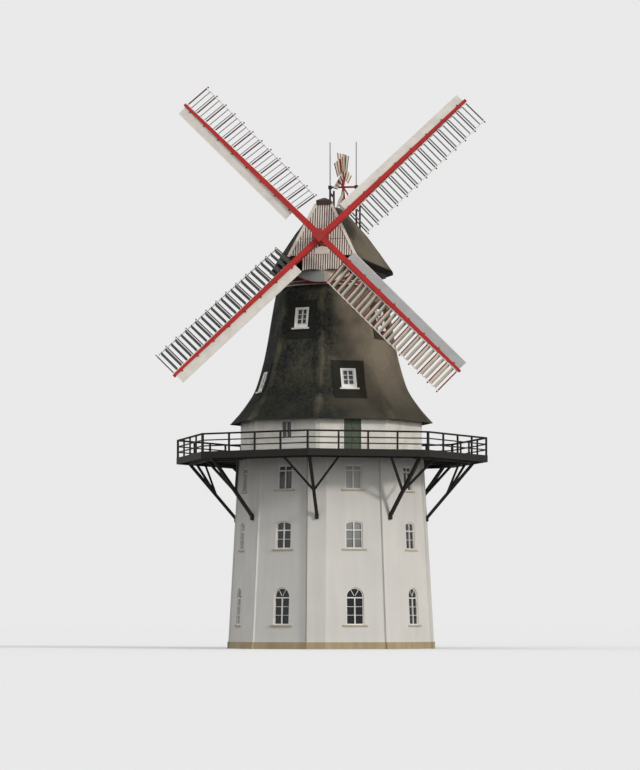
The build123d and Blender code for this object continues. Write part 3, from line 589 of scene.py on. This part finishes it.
# %% Glazing bars of the base
bar_width, bar_depth, bar_out = 0.03, 0.05, -0.095
frame_width, fan_gap = 0.05, 0.06
rays = np.radians([60, 120])
window_rows = {
    "ground": {"sill": 1.42, "width": 1.09, "levels": (0.57, 1.07), "arch": 1.655},
    "first": {"sill": 5.9, "width": 1.06, "levels": (0.57,), "arch": 0},
}
entrance_side = 3
glazing = []
for name, row in window_rows.items():
    half, heights = row["width"] / 2, row["sill"] + np.array(row["levels"])
    for side in range(sides):
        if name == "ground" and side == entrance_side:
            continue
        starts, ends = (
            on_wall(side, base_table, way * (half - frame_width), heights, bar_out) for way in (-1, 1)
        )
        glazing.append(bars(starts, ends, upwards, bar_width, bar_depth))
        if row["arch"]:
            middle = row["sill"] + row["arch"]
            starts, ends = (
                on_wall(side, base_table, reach * np.cos(rays), middle + reach * np.sin(rays), bar_out)
                for reach in (fan_gap, half - fan_gap)
            )
            glazing.append(bars(starts, ends, facing(side)[0], bar_depth, bar_width))
piece("glazing_bars", join(glazing), "tower", "window_wood")

# %% [markdown]
# ## Windows in the thatch
# A window in a thatched wall sits in a deep box of white boards. The cheeks splay outwards to let light
# in, and a broad sill throws the rain off. The windows lean with the wall, so their parts are placed on
# the window's own slope: across it, up it and back from its front. The cheeks then are four boards that
# join an outer and an inner rectangle.

# %% Places by a smock window
smock_width, smock_height, smock_border, cover = 0.94, 1.33, 0.09, 0.04
smock_rows = ((0, 15.4), (1, 19.1))
smock_windows = [(side, sill) for first, sill in smock_rows for side in range(first, sides, 2)]


def on_smock(side, sill, right, up, back):
    """Points by a smock window: `right`, `up` the slope of its front, and `back` from that front."""
    outward, rightward = facing(side)
    foot, head = np.interp((sill, sill + smock_height), *np.array(thatch_table).T) * to_flat
    slope = (foot - head) / smock_height
    upward, normal = unit(upwards - slope * outward), unit(outward + slope * np.array(upwards))
    right, up, back = (values[..., None] for values in np.broadcast_arrays(right, up, back))
    return (foot + cover) * outward + (0, 0, sill) + right * rightward + up * upward - back * normal


print("smock windows:", len(smock_windows))

# %% Splayed cheeks
sash_half, sash_low, sash_high, sash_back = 0.335, 0.3, 1.235, 0.075
cheek_thickness = 0.02


def cheeks(side, sill):
    """Four boards: each joins one edge of the outer rectangle to the same edge of the sash."""
    outer = smock_width / 2 - smock_border, smock_border, smock_height - smock_border, 0.0
    rims = []
    for half, low, high, back in (outer, (sash_half, sash_low, sash_high, sash_back)):
        right, up = np.array([(-half, low), (half, low), (half, high), (-half, high)]).T
        rims.append(on_smock(side, sill, right, up, back))
    near, far = rims
    boards = np.stack([near, np.roll(near, -1, 0), np.roll(far, -1, 0), far], axis=1)
    normals = unit(np.cross(boards[:, 1] - boards[:, 0], boards[:, 3] - boards[:, 0]))
    return tubes(np.stack([boards - cheek_thickness * normals[:, None], boards], axis=1))


piece("smock_cheeks", join([cheeks(*window) for window in smock_windows]), "tower", "window_wood")

# %% Sashes and sills of the smock windows
sash_bar, sash_depth, sash_inset = 0.036, 0.04, 0.025
sill_half, sill_up, sill_out, sill_height, sill_depth = 0.59, 0.03, 0.02, 0.09, 0.14
across = np.array([-sash_half + sash_inset, 0.0, sash_half - sash_inset])
levels = np.linspace(sash_low + sash_inset, sash_high - sash_inset, 4)
sill_tips = np.array([[-sill_half], [sill_half]])
sashes, smock_sills = [], []
for side, sill in smock_windows:
    starts, ends = (on_smock(side, sill, across, up, sash_back) for up in (sash_low, sash_high))
    sashes.append(bars(starts, ends, facing(side)[1], sash_bar, sash_depth))
    starts, ends = (on_smock(side, sill, way * sash_half, levels, sash_back) for way in (-1, 1))
    sashes.append(bars(starts, ends, upwards, sash_bar, sash_depth))
    starts, ends = (on_smock(side, sill, tip, sill_up, -sill_out) for tip in sill_tips)
    smock_sills.append(bars(starts, ends, upwards, sill_height, sill_depth))
piece("smock_sashes", join(sashes), "tower", "window_wood")
piece("smock_sills", join(smock_sills), "tower", "window_wood")

# %% [markdown]
# ## Collars of fresh reed
# The thatcher closes the reed round each window with a fresh, darker collar. It could be a patch of
# colour on the thatch, but a collar stands a little proud, and its edge shows. It is four slabs on the
# wall, bent with it where it flares: two beside the window, one under it and one over it.

# %% Collars round the smock windows
collar_depth, collar_out, head_lap = 0.15, 0.03, 0.03
collar_half, collar_under, collar_over = 1.0, 0.55, 0.42


def slab(side, start, end, levels):
    """A slab on the thatch from `start` to `end` to the right, over a column of levels."""
    corners = ((start, -collar_depth), (end, -collar_depth), (end, collar_out), (start, collar_out))
    ring = [on_wall(side, thatch_table, right, levels, out) for right, out in corners]
    return tubes(np.stack(ring, axis=1)[None])


collars = []
for side, sill in smock_windows:
    edge, head = smock_width / 2, sill + smock_height
    low, high = sill - collar_under, head + collar_over
    for start, end in ((-collar_half, -edge), (edge, collar_half)):
        collars.append(slab(side, start, end, np.linspace(low, high, 9)))
    for start, end in ((low, sill), (head - head_lap, high)):
        collars.append(slab(side, -edge, edge, np.linspace(start, end, 4)))
piece("thatch_collars", join(collars), "tower", "thatch", new_thatch)

# %% [markdown]
# ## Weatherboards
# The storey on the gallery is clad with level boards, each lapping the one below. A lap casts the thin
# shadow line that shows from afar, which a painted line would not do in other light. Each board is a
# wedge, thick at its lower edge, carried from corner post to corner post, and cut where a door or a
# window is in the way.

# %% Lapped boards of the gallery storey
board_pitch, deck_level, board_top = 0.16, 11.6, 13.72
thick_edge, thin_edge, lap, post_half = 0.028, 0.009, 0.012, 0.13
board_half = upper_table[0][1] * math.sin(math.pi / sides) - post_half
door_sides, window_sides = (0, 4), (7, 3)
door_opening, window_opening = (0.60, 11.6, 13.66), (0.425, 12.45, 13.565)
openings = dict.fromkeys(door_sides, door_opening) | dict.fromkeys(window_sides, window_opening)
wedge = np.array([(0.0, 0.0), (thick_edge, 0.0), (thin_edge, board_pitch + lap), (0.0, board_pitch + lap)])
laps = []
for side in range(sides):
    for level in np.arange(deck_level, board_top - board_pitch, board_pitch):
        spans = [(-board_half, board_half)]
        if side in openings:
            edge, low, high = openings[side]
            if low < level + board_pitch and level < high:
                spans = [(-board_half, -edge), (edge, board_half)]
        for start, end in spans:
            path = on_wall(side, upper_table, np.array([end, start]), level, 0.0)
            laps.append(carry(path[None], facing(side)[0], wedge))
piece("weatherboards", join(laps), "tower", "weatherboard")

# %% [markdown]
# ## Casings and doors of the tower
# A casing is the white board that covers the cut ends of the weatherboards round an opening. It runs up
# one side, across the head and down the other, and under a window too. The doors get their rails and
# stiles, and the entrance its upright boards, as thin bars over the plain solid leaf. All are straight
# bars from corner to corner, so the maker of bars serves for every one of them.

# %% Casings round the gallery doors and windows
casing_lap, casing_out, casing_depth, casing_width = 0.03, 0.02, 0.05, 0.08
casings = []
for side, (edge, low, high) in openings.items():
    inner, head = edge - casing_lap, high - casing_lap
    corners = [(-inner, low), (-inner, head), (inner, head), (inner, low)]
    if side in window_sides:
        corners.append(corners[0])
    points = on_wall(side, upper_table, *np.array(corners).T, casing_out)
    casings.append(bars(points[:-1], points[1:], facing(side)[0], casing_depth, casing_width))
piece("gallery_casings", join(casings), "tower", "window_wood")

# %% Rails, stiles and boards of the doors
door_half, door_out, door_relief, rail_width, stile_width = 0.5, 0.012, 0.024, 0.12, 0.1
rails = deck_level + np.array([0.1, 0.75, 1.4, 1.9])
stiles, stile_ends = np.array([-0.49, 0.0, 0.49]), (0.04, 1.96)
door_parts = []
for side in door_sides:
    starts, ends = (on_wall(side, upper_table, way * door_half, rails, door_out) for way in (-1, 1))
    door_parts.append(bars(starts, ends, upwards, rail_width, door_relief))
    starts, ends = (on_wall(side, upper_table, stiles, deck_level + up, door_out) for up in stile_ends)
    door_parts.append(bars(starts, ends, facing(side)[1], stile_width, door_relief))
boards, entrance_out, entrance_ends = np.linspace(-0.54, 0.54, 9), -0.112, (0.48, 2.8)
entrance_width, entrance_relief = 0.115, 0.016
starts, ends = (on_wall(entrance_side, base_table, boards, end, entrance_out) for end in entrance_ends)
door_parts.append(bars(starts, ends, facing(entrance_side)[1], entrance_width, entrance_relief))
piece("door_boards", join(door_parts), "tower", "door_green")

# %% [markdown]
# ## The gallery floor
# The planks of a gallery run along each side and meet in a mitre at the corner beams. Each plank is a
# thin slab with slanting ends. The gap between planks is what makes the floor read as timber from
# above, and a pattern in the material would lose it at the mitres.

# %% Planks of the gallery
plank_pitch, plank_width, plank_rise, plank_sink, mitre_gap = 0.155, 0.14, 0.012, 0.002, 0.012
wall_radius, wall_gap, deck_radius = 5.61, 0.02, 9.54
slope = math.tan(math.pi / sides)
first_plank, last_plank = wall_radius * to_flat + wall_gap, deck_radius * to_flat - plank_width
lows = np.arange(first_plank, last_plank, plank_pitch)[:, None]
highs = lows + plank_width
planks = []
for side in range(sides):
    outward, rightward = facing(side)
    near, far = lows * outward, highs * outward
    near_half, far_half = ((edge * slope - mitre_gap) * rightward for edge in (lows, highs))
    outline = np.stack([near - near_half, far - far_half, far + far_half, near + near_half], axis=1)
    rows = [outline + (0, 0, deck_level + rise) for rise in (-plank_sink, plank_rise)]
    planks.append(tubes(np.stack(rows, axis=1)))
piece("gallery_planks", join(planks), "tower", "gallery_timber")

# %% [markdown]
# ## Handrail and strut shoes
# A flat handrail lies on the railing's posts and runs from corner to corner, and each strut stands on a
# block against the wall. Both repeat at the eight corners, so one list of directions places them all.

# %% Handrail and shoes of the struts
railing_radius, rail_up, rail_thickness, rail_breadth = 9.45, 1.085, 0.03, 0.13
outward, rightward = directions(-90 + 45.0 * np.arange(sides))
corners = outward * railing_radius + (0, 0, deck_level + rail_up)
handrail = bars(corners, np.roll(corners, -1, axis=0), upwards, rail_thickness, rail_breadth)
piece("gallery_handrail", handrail, "tower", "gallery_timber")

strut_foot, pilaster_half, pilaster_out = 7.8, 0.56, 0.12
shoe_width, shoe_depth, shoe_ends = 0.21, 0.14, (7.64, 7.92)
pilaster = np.interp(strut_foot, *np.array(base_table).T) - pilaster_half * slope + pilaster_out
starts, ends = (outward * (pilaster + shoe_depth / 2) + (0, 0, end) for end in shoe_ends)
piece("strut_shoes", bars(starts, ends, rightward, shoe_width, shoe_depth), "tower", "gallery_timber")

# %% [markdown]
# ## The rim of the smock
# Where the thatch meets the curb, thin boards run round the tower: a pale rim, a dark red one and a pale
# lath. Each is a ring: a small rectangle carried once around a circle, with its two ends in the same
# place. It is written apart from the bars, because it closes on itself and needs no end faces.

# %% A ring about the tower's axis


def ring(radius, height, width, depth, steps=96):
    """A rectangle carried round a circle: (radius + u) outwards, height + v up."""
    angles = np.linspace(0, 2 * np.pi, steps, endpoint=False)
    u, v = rectangle(width, depth).T
    reach = radius + u
    points = np.stack([
        reach * np.cos(angles)[:, None], reach * np.sin(angles)[:, None],
        np.broadcast_to(height + v, (steps, 4)),
    ], axis=-1)
    index = np.arange(steps * 4).reshape(steps, 4)
    after = np.roll(index, -1, axis=0)
    skin = np.stack([index, after, np.roll(after, -1, 1), np.roll(index, -1, 1)], axis=-1).reshape(-1, 4)
    return points.reshape(-1, 3), [skin]


piece("smock_rim", ring(radius=3.02, height=21.83, width=0.16, depth=0.06), "tower", "apron_boards")
piece("curb_rim", ring(radius=2.99, height=21.95, width=0.08, depth=0.07), "tower", "fan_red")
piece("curb_lath", ring(radius=2.99, height=22.05, width=0.08, depth=0.04), "tower", "apron_boards")

# %% [markdown]
# ## The striped gable
# The front of the cap is closed by upright boards, painted pale over a dark red ground, so that the
# gable reads as stripes. It leans back with the sails, so its places are measured in their plane. The
# stripes could be a pattern in the material, but real boards stand proud and catch the light. Each ends
# where the gable's outline cuts it: a sloping edge above, a scalloped edge below, a joint across the
# middle and a round hole for the windshaft.

# %% Places on the leaning front
hub = np.array([0.0, -hub_forward, hub_height])
panel_up = np.array([0.0, math.sin(shaft_lean), math.cos(shaft_lean)])
panel_out = np.array([0.0, -math.cos(shaft_lean), math.sin(shaft_lean)])


def on_front(x, up, out):
    """Points in the plane that the sails turn in: x to the right, `up` along it, `out` in front."""
    x, up, out = np.broadcast_arrays(x, up, out)
    return hub + x[..., None] * (1, 0, 0) + up[..., None] * panel_up + out[..., None] * panel_out


print("the front leans back by", round(math.degrees(shaft_lean)), "degrees")

# %% Stripes of the gable
gable_front, stripe_pitch, stripe_width, stripe_depth = -1.010, 0.14, 0.076, 0.03
gable_top, top_half, shoulder_run, shoulder_drop = 2.36, 0.43, 1.52, 3.235
gable_foot, scallop, wing_start, wing_foot = -1.70, 0.10, 1.2, -0.85
beside_middle, shaft_hole, joint, joint_gap, shortest = 13, 0.34, 0.2, 0.03, 0.05
stripes = np.arange(-beside_middle, beside_middle + 1) * stripe_pitch
tops = gable_top - np.clip((np.abs(stripes) - top_half) / shoulder_run, 0, None) * shoulder_drop
scallops = scallop * (1 - np.abs(np.sin(np.pi * stripes / wing_start)))
feet = np.where(np.abs(stripes) > wing_start, wing_foot, gable_foot - scallops)
hole = np.sqrt(np.clip(shaft_hole**2 - stripes**2, 0, None))
split = hole > 0
under = np.minimum(joint - joint_gap / 2, tops)
spans = [*zip(stripes[~split], feet[~split], under[~split])]
spans += [*zip(stripes[split], feet[split], -hole[split])]
spans += [*zip(stripes, np.maximum(joint + joint_gap / 2, hole), tops)]
x, low, high = np.array([(x, low, high) for x, low, high in spans if high > low + shortest]).T
starts, ends = (on_front(x, up, gable_front + stripe_depth / 2) for up in (low, high))
piece("gable_stripes", bars(starts, ends, (1, 0, 0), stripe_width, stripe_depth), "cap", "sail_white")

# %% [markdown]
# ## Barge boards and hub board
# A white barge board covers the reed's edge along each slope of the gable, and a board with a round head
# closes the opening under the shaft. The barge boards are straight bars between two points that are
# mirrored in x. The hub board is one flat outline, given two depths.

# %% Barge boards and hub board
barge_foot, barge_head, barge_out, barge_depth, barge_width = (2.03, -0.9), (0.475, 2.37), 0.02, 0.10, 0.17
ways = np.array([-1, 1])
starts, ends = (on_front(ways * x, up, gable_front + barge_out) for x, up in (barge_foot, barge_head))
piece("barge_boards", bars(starts, ends, panel_out, barge_depth, barge_width), "cap", "sail_white")

dome_half, dome_height, dome_foot, dome_depth = 0.47, 0.49, -0.767, 0.07
angles = np.linspace(0, np.pi, 25)
x, up = dome_half * np.cos(angles), dome_foot + dome_height * np.sin(angles)
rows = [on_front(x, up, gable_front + out) for out in (0, dome_depth)]
piece("hub_board", tubes(np.stack(rows)[None]), "cap", "sail_white")

# %% [markdown]
# ## The beard under the gable
# Below the gable hangs a boat-shaped apron that hides the joint between cap and curb. The solid model
# has it plain, and this piece stands for it. It is two flat boards that meet in a crease straight ahead.
# The upper edge is level and rounded at its ends, the lower edge rises towards both ends as a power
# curve, and a dark red lath trims it. One outline carried along x gives both boards at once.

# %% Beard board and its lath
beard_half, beard_front, beard_top, beard_thickness, crease = 1.62, 3.84, 22.60, 0.06, 0.42
beard_low, beard_rise, rise_power, rounding, end_height = 21.86, 0.46, 2.2, 1.4, 0.06
x = np.linspace(-beard_half, beard_half, 49)
lower = beard_low + beard_rise * (np.abs(x) / beard_half) ** rise_power
rounded = lower + rounding * np.sqrt(np.clip(beard_half - np.abs(x), 0, None)) + end_height
upper = np.minimum(beard_top, rounded)


def on_beard(x, height, out):
    """Points on two flat boards that meet in a crease straight ahead: y falls back by crease * |x|."""
    x, height, out = np.broadcast_arrays(x, height, out)
    return np.stack([x, -beard_front - out + crease * np.abs(x), height], axis=-1)


corners = ((lower, -0.5), (lower, 0.5), (upper, 0.5), (upper, -0.5))
outline = np.stack([on_beard(x, edge, share * beard_thickness) for edge, share in corners], axis=1)
beard = piece("beard", tubes(outline[None, :, ::-1]), "cap", "apron_boards")
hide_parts("curb_apron")
lath_drop, lath_width, lath_depth = 0.01, 0.09, 0.05
lath = carry(on_beard(x, lower - lath_drop, 0.0)[None], (0, -1, 0), rectangle(lath_width, lath_depth))
piece("beard_lath", lath, "cap", "fan_red")

# %% [markdown]
# ## Sails
# A sail is a lattice of red bars through the stock, with a white hem along both edges of its shutters.
# The bars lean back most near the hub and least at the tip, so a straight strip would leave them. A hem
# is a twisted strip instead: a small rectangle carried along a line whose own frame turns with the bars.
# The four sails differ only in their angle and in how far forward their stock lies.

# %% Places on a sail
sail_places = ((135, 1), (45, -1), (-45, 1), (225, -1))
stock_middle, stock_ends, stock_halves = 0.175, (0.66, 12.08), (0.17, 0.08)
root_lean, tip_lean = 20, 6


def on_sail(angle, along, across, out):
    """Points along a stock, `across` to the side of its bars, `out` in front of the turning plane."""
    a = math.radians(angle)
    along, across, out = np.broadcast_arrays(along, across, out)
    x = along * math.cos(a) + across * math.sin(a)
    up = along * math.sin(a) - across * math.cos(a)
    return on_front(x, up, out)


def stock_half(along):
    """Half width of a stock: even at the hub, then tapering to the tip."""
    return np.interp(np.abs(along), stock_ends, stock_halves)


def on_lattice(angle, middle, along, reach):
    """Points on the leaning bars: the lean falls evenly from the root to the tip."""
    lean = np.radians(np.interp(along, (sail_root, sail_end), (root_lean, tip_lean)))
    return on_sail(angle, along, reach * np.cos(lean), middle - reach * np.sin(lean))


print("stock at the tip:", 2 * stock_half(sail_end), "m wide")

# %% White hems along the shutters
outer_hem, hem_gap, hem_past, hem_width, hem_depth = 1.7, 0.0525, 0.037, 0.05, 0.066
along = np.linspace(sail_root - hem_past, sail_end + hem_past, 49)
hems = []
for angle, way in sail_places:
    for reach in (stock_half(along) + hem_gap, outer_hem):
        path, beside = (on_lattice(angle, way * stock_middle, along, reach + more) for more in (0, 1))
        hems.append(carry(path[None], (beside - path)[None], rectangle(hem_width, hem_depth)))
piece("sail_hems", join(hems), "sails", "sail_white", finishes["hem_white"])

# %% [markdown]
# ## Clamps and board edges
# Red clamps hold the leading board to the stock at even steps, and a thin strip stiffens the board's
# outer edge. A clamp is a short bar along the stock. The strip follows the edge of the solid board,
# which leans back by 8 degrees.

# %% Clamps and edges of the leading boards
first_clamp, last_clamp, clamp_pitch = 2.5, 11.8, 1.28
clamp_tips, clamp_size, clamp_gap, clamp_front = (-0.045, 0.045), 0.08, 0.03, 0.04
board_width, board_lean, board_front = 0.56, math.radians(8), 0.02
edge_width, edge_depth = 0.055, 0.03
spots = np.arange(first_clamp, last_clamp, clamp_pitch)
lengths = np.array([sail_root, sail_end])
clamps, edges = [], []
for angle, way in sail_places:
    middle, aside = way * stock_middle, -stock_half(spots) - clamp_gap
    starts, ends = (on_sail(angle, spots + tip, aside, middle + clamp_front) for tip in clamp_tips)
    clamps.append(bars(starts, ends, panel_out, clamp_size, clamp_size))
    far = -stock_half(lengths) - board_width * math.cos(board_lean)
    path = on_sail(angle, lengths, far, middle + board_front - board_width * math.sin(board_lean))
    edges.append(carry(path[None], panel_out, rectangle(edge_width, edge_depth)))
piece("stock_clamps", join(clamps), "sails", "fan_red")
piece("board_edges", join(edges), "sails", "sail_white")

# %% [markdown]
# ## The fantail
# The little wheel at the back turns the cap into the wind. Its vanes are thin boards on red arms, set
# across the wind like the blades of a screw. Red battens stiffen each vane and dark ones trim its edges.
# A vane widens outwards, so each batten is a straight bar between two shares of the vane's half width.

# %% Battens on the vanes
fan_centre, fan_pitch, first_vane, vanes = np.array([0.0, 5.4, 28.8]), math.radians(29), 86, 8
root, tip, root_half, tip_half = 1.0, 2.1, 0.41, 0.60
batten_out, batten_width, batten_depth = 0.027, 0.035, 0.03
battens = {"fan_battens": (0.5, "fan_red"), "fan_edges": (0.965, "fan_timber")}
for name, (share, finish) in battens.items():
    shares = np.array([[-share], [share]])
    made = []
    for number in range(vanes):
        angle = math.radians(first_vane + 360 / vanes * number)
        outwards = np.array([0.0, math.cos(angle), math.sin(angle)])
        level, turned = math.sin(fan_pitch), math.cos(fan_pitch)
        across = np.array([level, math.sin(angle) * turned, -math.cos(angle) * turned])
        front = fan_centre - batten_out * np.cross(across, outwards)
        starts = front + outwards * root + shares * root_half * across
        ends = front + outwards * tip + shares * tip_half * across
        made.append(bars(starts, ends, across, batten_width, batten_depth))
    piece(name, join(made), "fan", "fan_red", finishes[finish])

# %% [markdown]
# ## The world
# A pale sky fills the shadows softly and is the backdrop too. Those need two levels: what lights the mill
# stays moderate, so that colours render about as they are written, and what the eye sees is nearly
# white. The rays that reach the eye tell them apart, also by way of gloss and glass, so panes mirror the
# backdrop that the picture shows.

# %% World
world = bpy.data.worlds.new("world")
bpy.context.scene.world = world
sky = Finish(world, "Background")
sky_level, backdrop_level = 0.42, 0.82
light = (sky_level, sky_level, sky_level * 1.02, 1)
sky.feed(Color=sky.mix(sky.shown(), light, grey(backdrop_level)))
print("world:", sky_level, backdrop_level)

# %% [markdown]
# ## Lamps
# Three far lamps give a soft studio light. The key is the sun behind thin cloud, low and from the right.
# The haze is a broad glow near the horizon on the same side, which lights the walls under the gallery.
# The fill is broader still and comes from the left, in front. Area lamps would fade with distance on a
# thing 34 m high, and far lamps don't.

# %% Three lamps


def lamp(name, strength, spread, height, bearing, colour):
    """A far lamp: spread, height above the horizon and bearing from straight ahead, in degrees."""
    data = bpy.data.lights.new(name, "SUN")
    data.energy, data.angle, data.color = strength, math.radians(spread), colour
    made = bpy.data.objects.new(name, data)
    bpy.context.scene.collection.objects.link(made)
    made.rotation_euler = (math.pi / 2 - math.radians(height), 0, math.radians(bearing))
    print(name, "lamp:", strength)


lamp("key", strength=1.15, spread=7, height=22, bearing=58, colour=(1.0, 0.97, 0.93))
lamp("haze", strength=0.62, spread=25, height=6, bearing=62, colour=(1.0, 0.98, 0.94))
lamp("fill", strength=1.05, spread=120, height=50, bearing=-32, colour=(0.97, 0.99, 1.0))

# %% [markdown]
# ## Floor
# The mill stands on a plain pale disc that takes its shadow. As with the sky, it is nearly white to the
# eye and darker to the light that it throws back, so that it doesn't light the undersides of the gallery
# and the cap too much.

# %% Floor
floor_radius, floor_corners, lit_level, shown_level = 900, 96, 0.2, 0.98
angles = np.linspace(0, 2 * np.pi, floor_corners, endpoint=False)
disc = floor_radius * np.stack([np.cos(angles), np.sin(angles), np.zeros_like(angles)], axis=-1)
floor_mesh = bpy.data.meshes.new("floor")
floor_mesh.from_pydata(disc.tolist(), [], [list(range(floor_corners))])
ground = blank("floor")
tone = ground.mix(ground.shown(), grey(lit_level), grey(shown_level))
floor_mesh.materials.append(ground.feed(Base_Color=tone, Roughness=1.0, Specular_IOR_Level=0.0))
floor = bpy.data.objects.new("floor", floor_mesh)
bpy.context.scene.collection.objects.link(floor)
print("floor radius:", floor_radius)
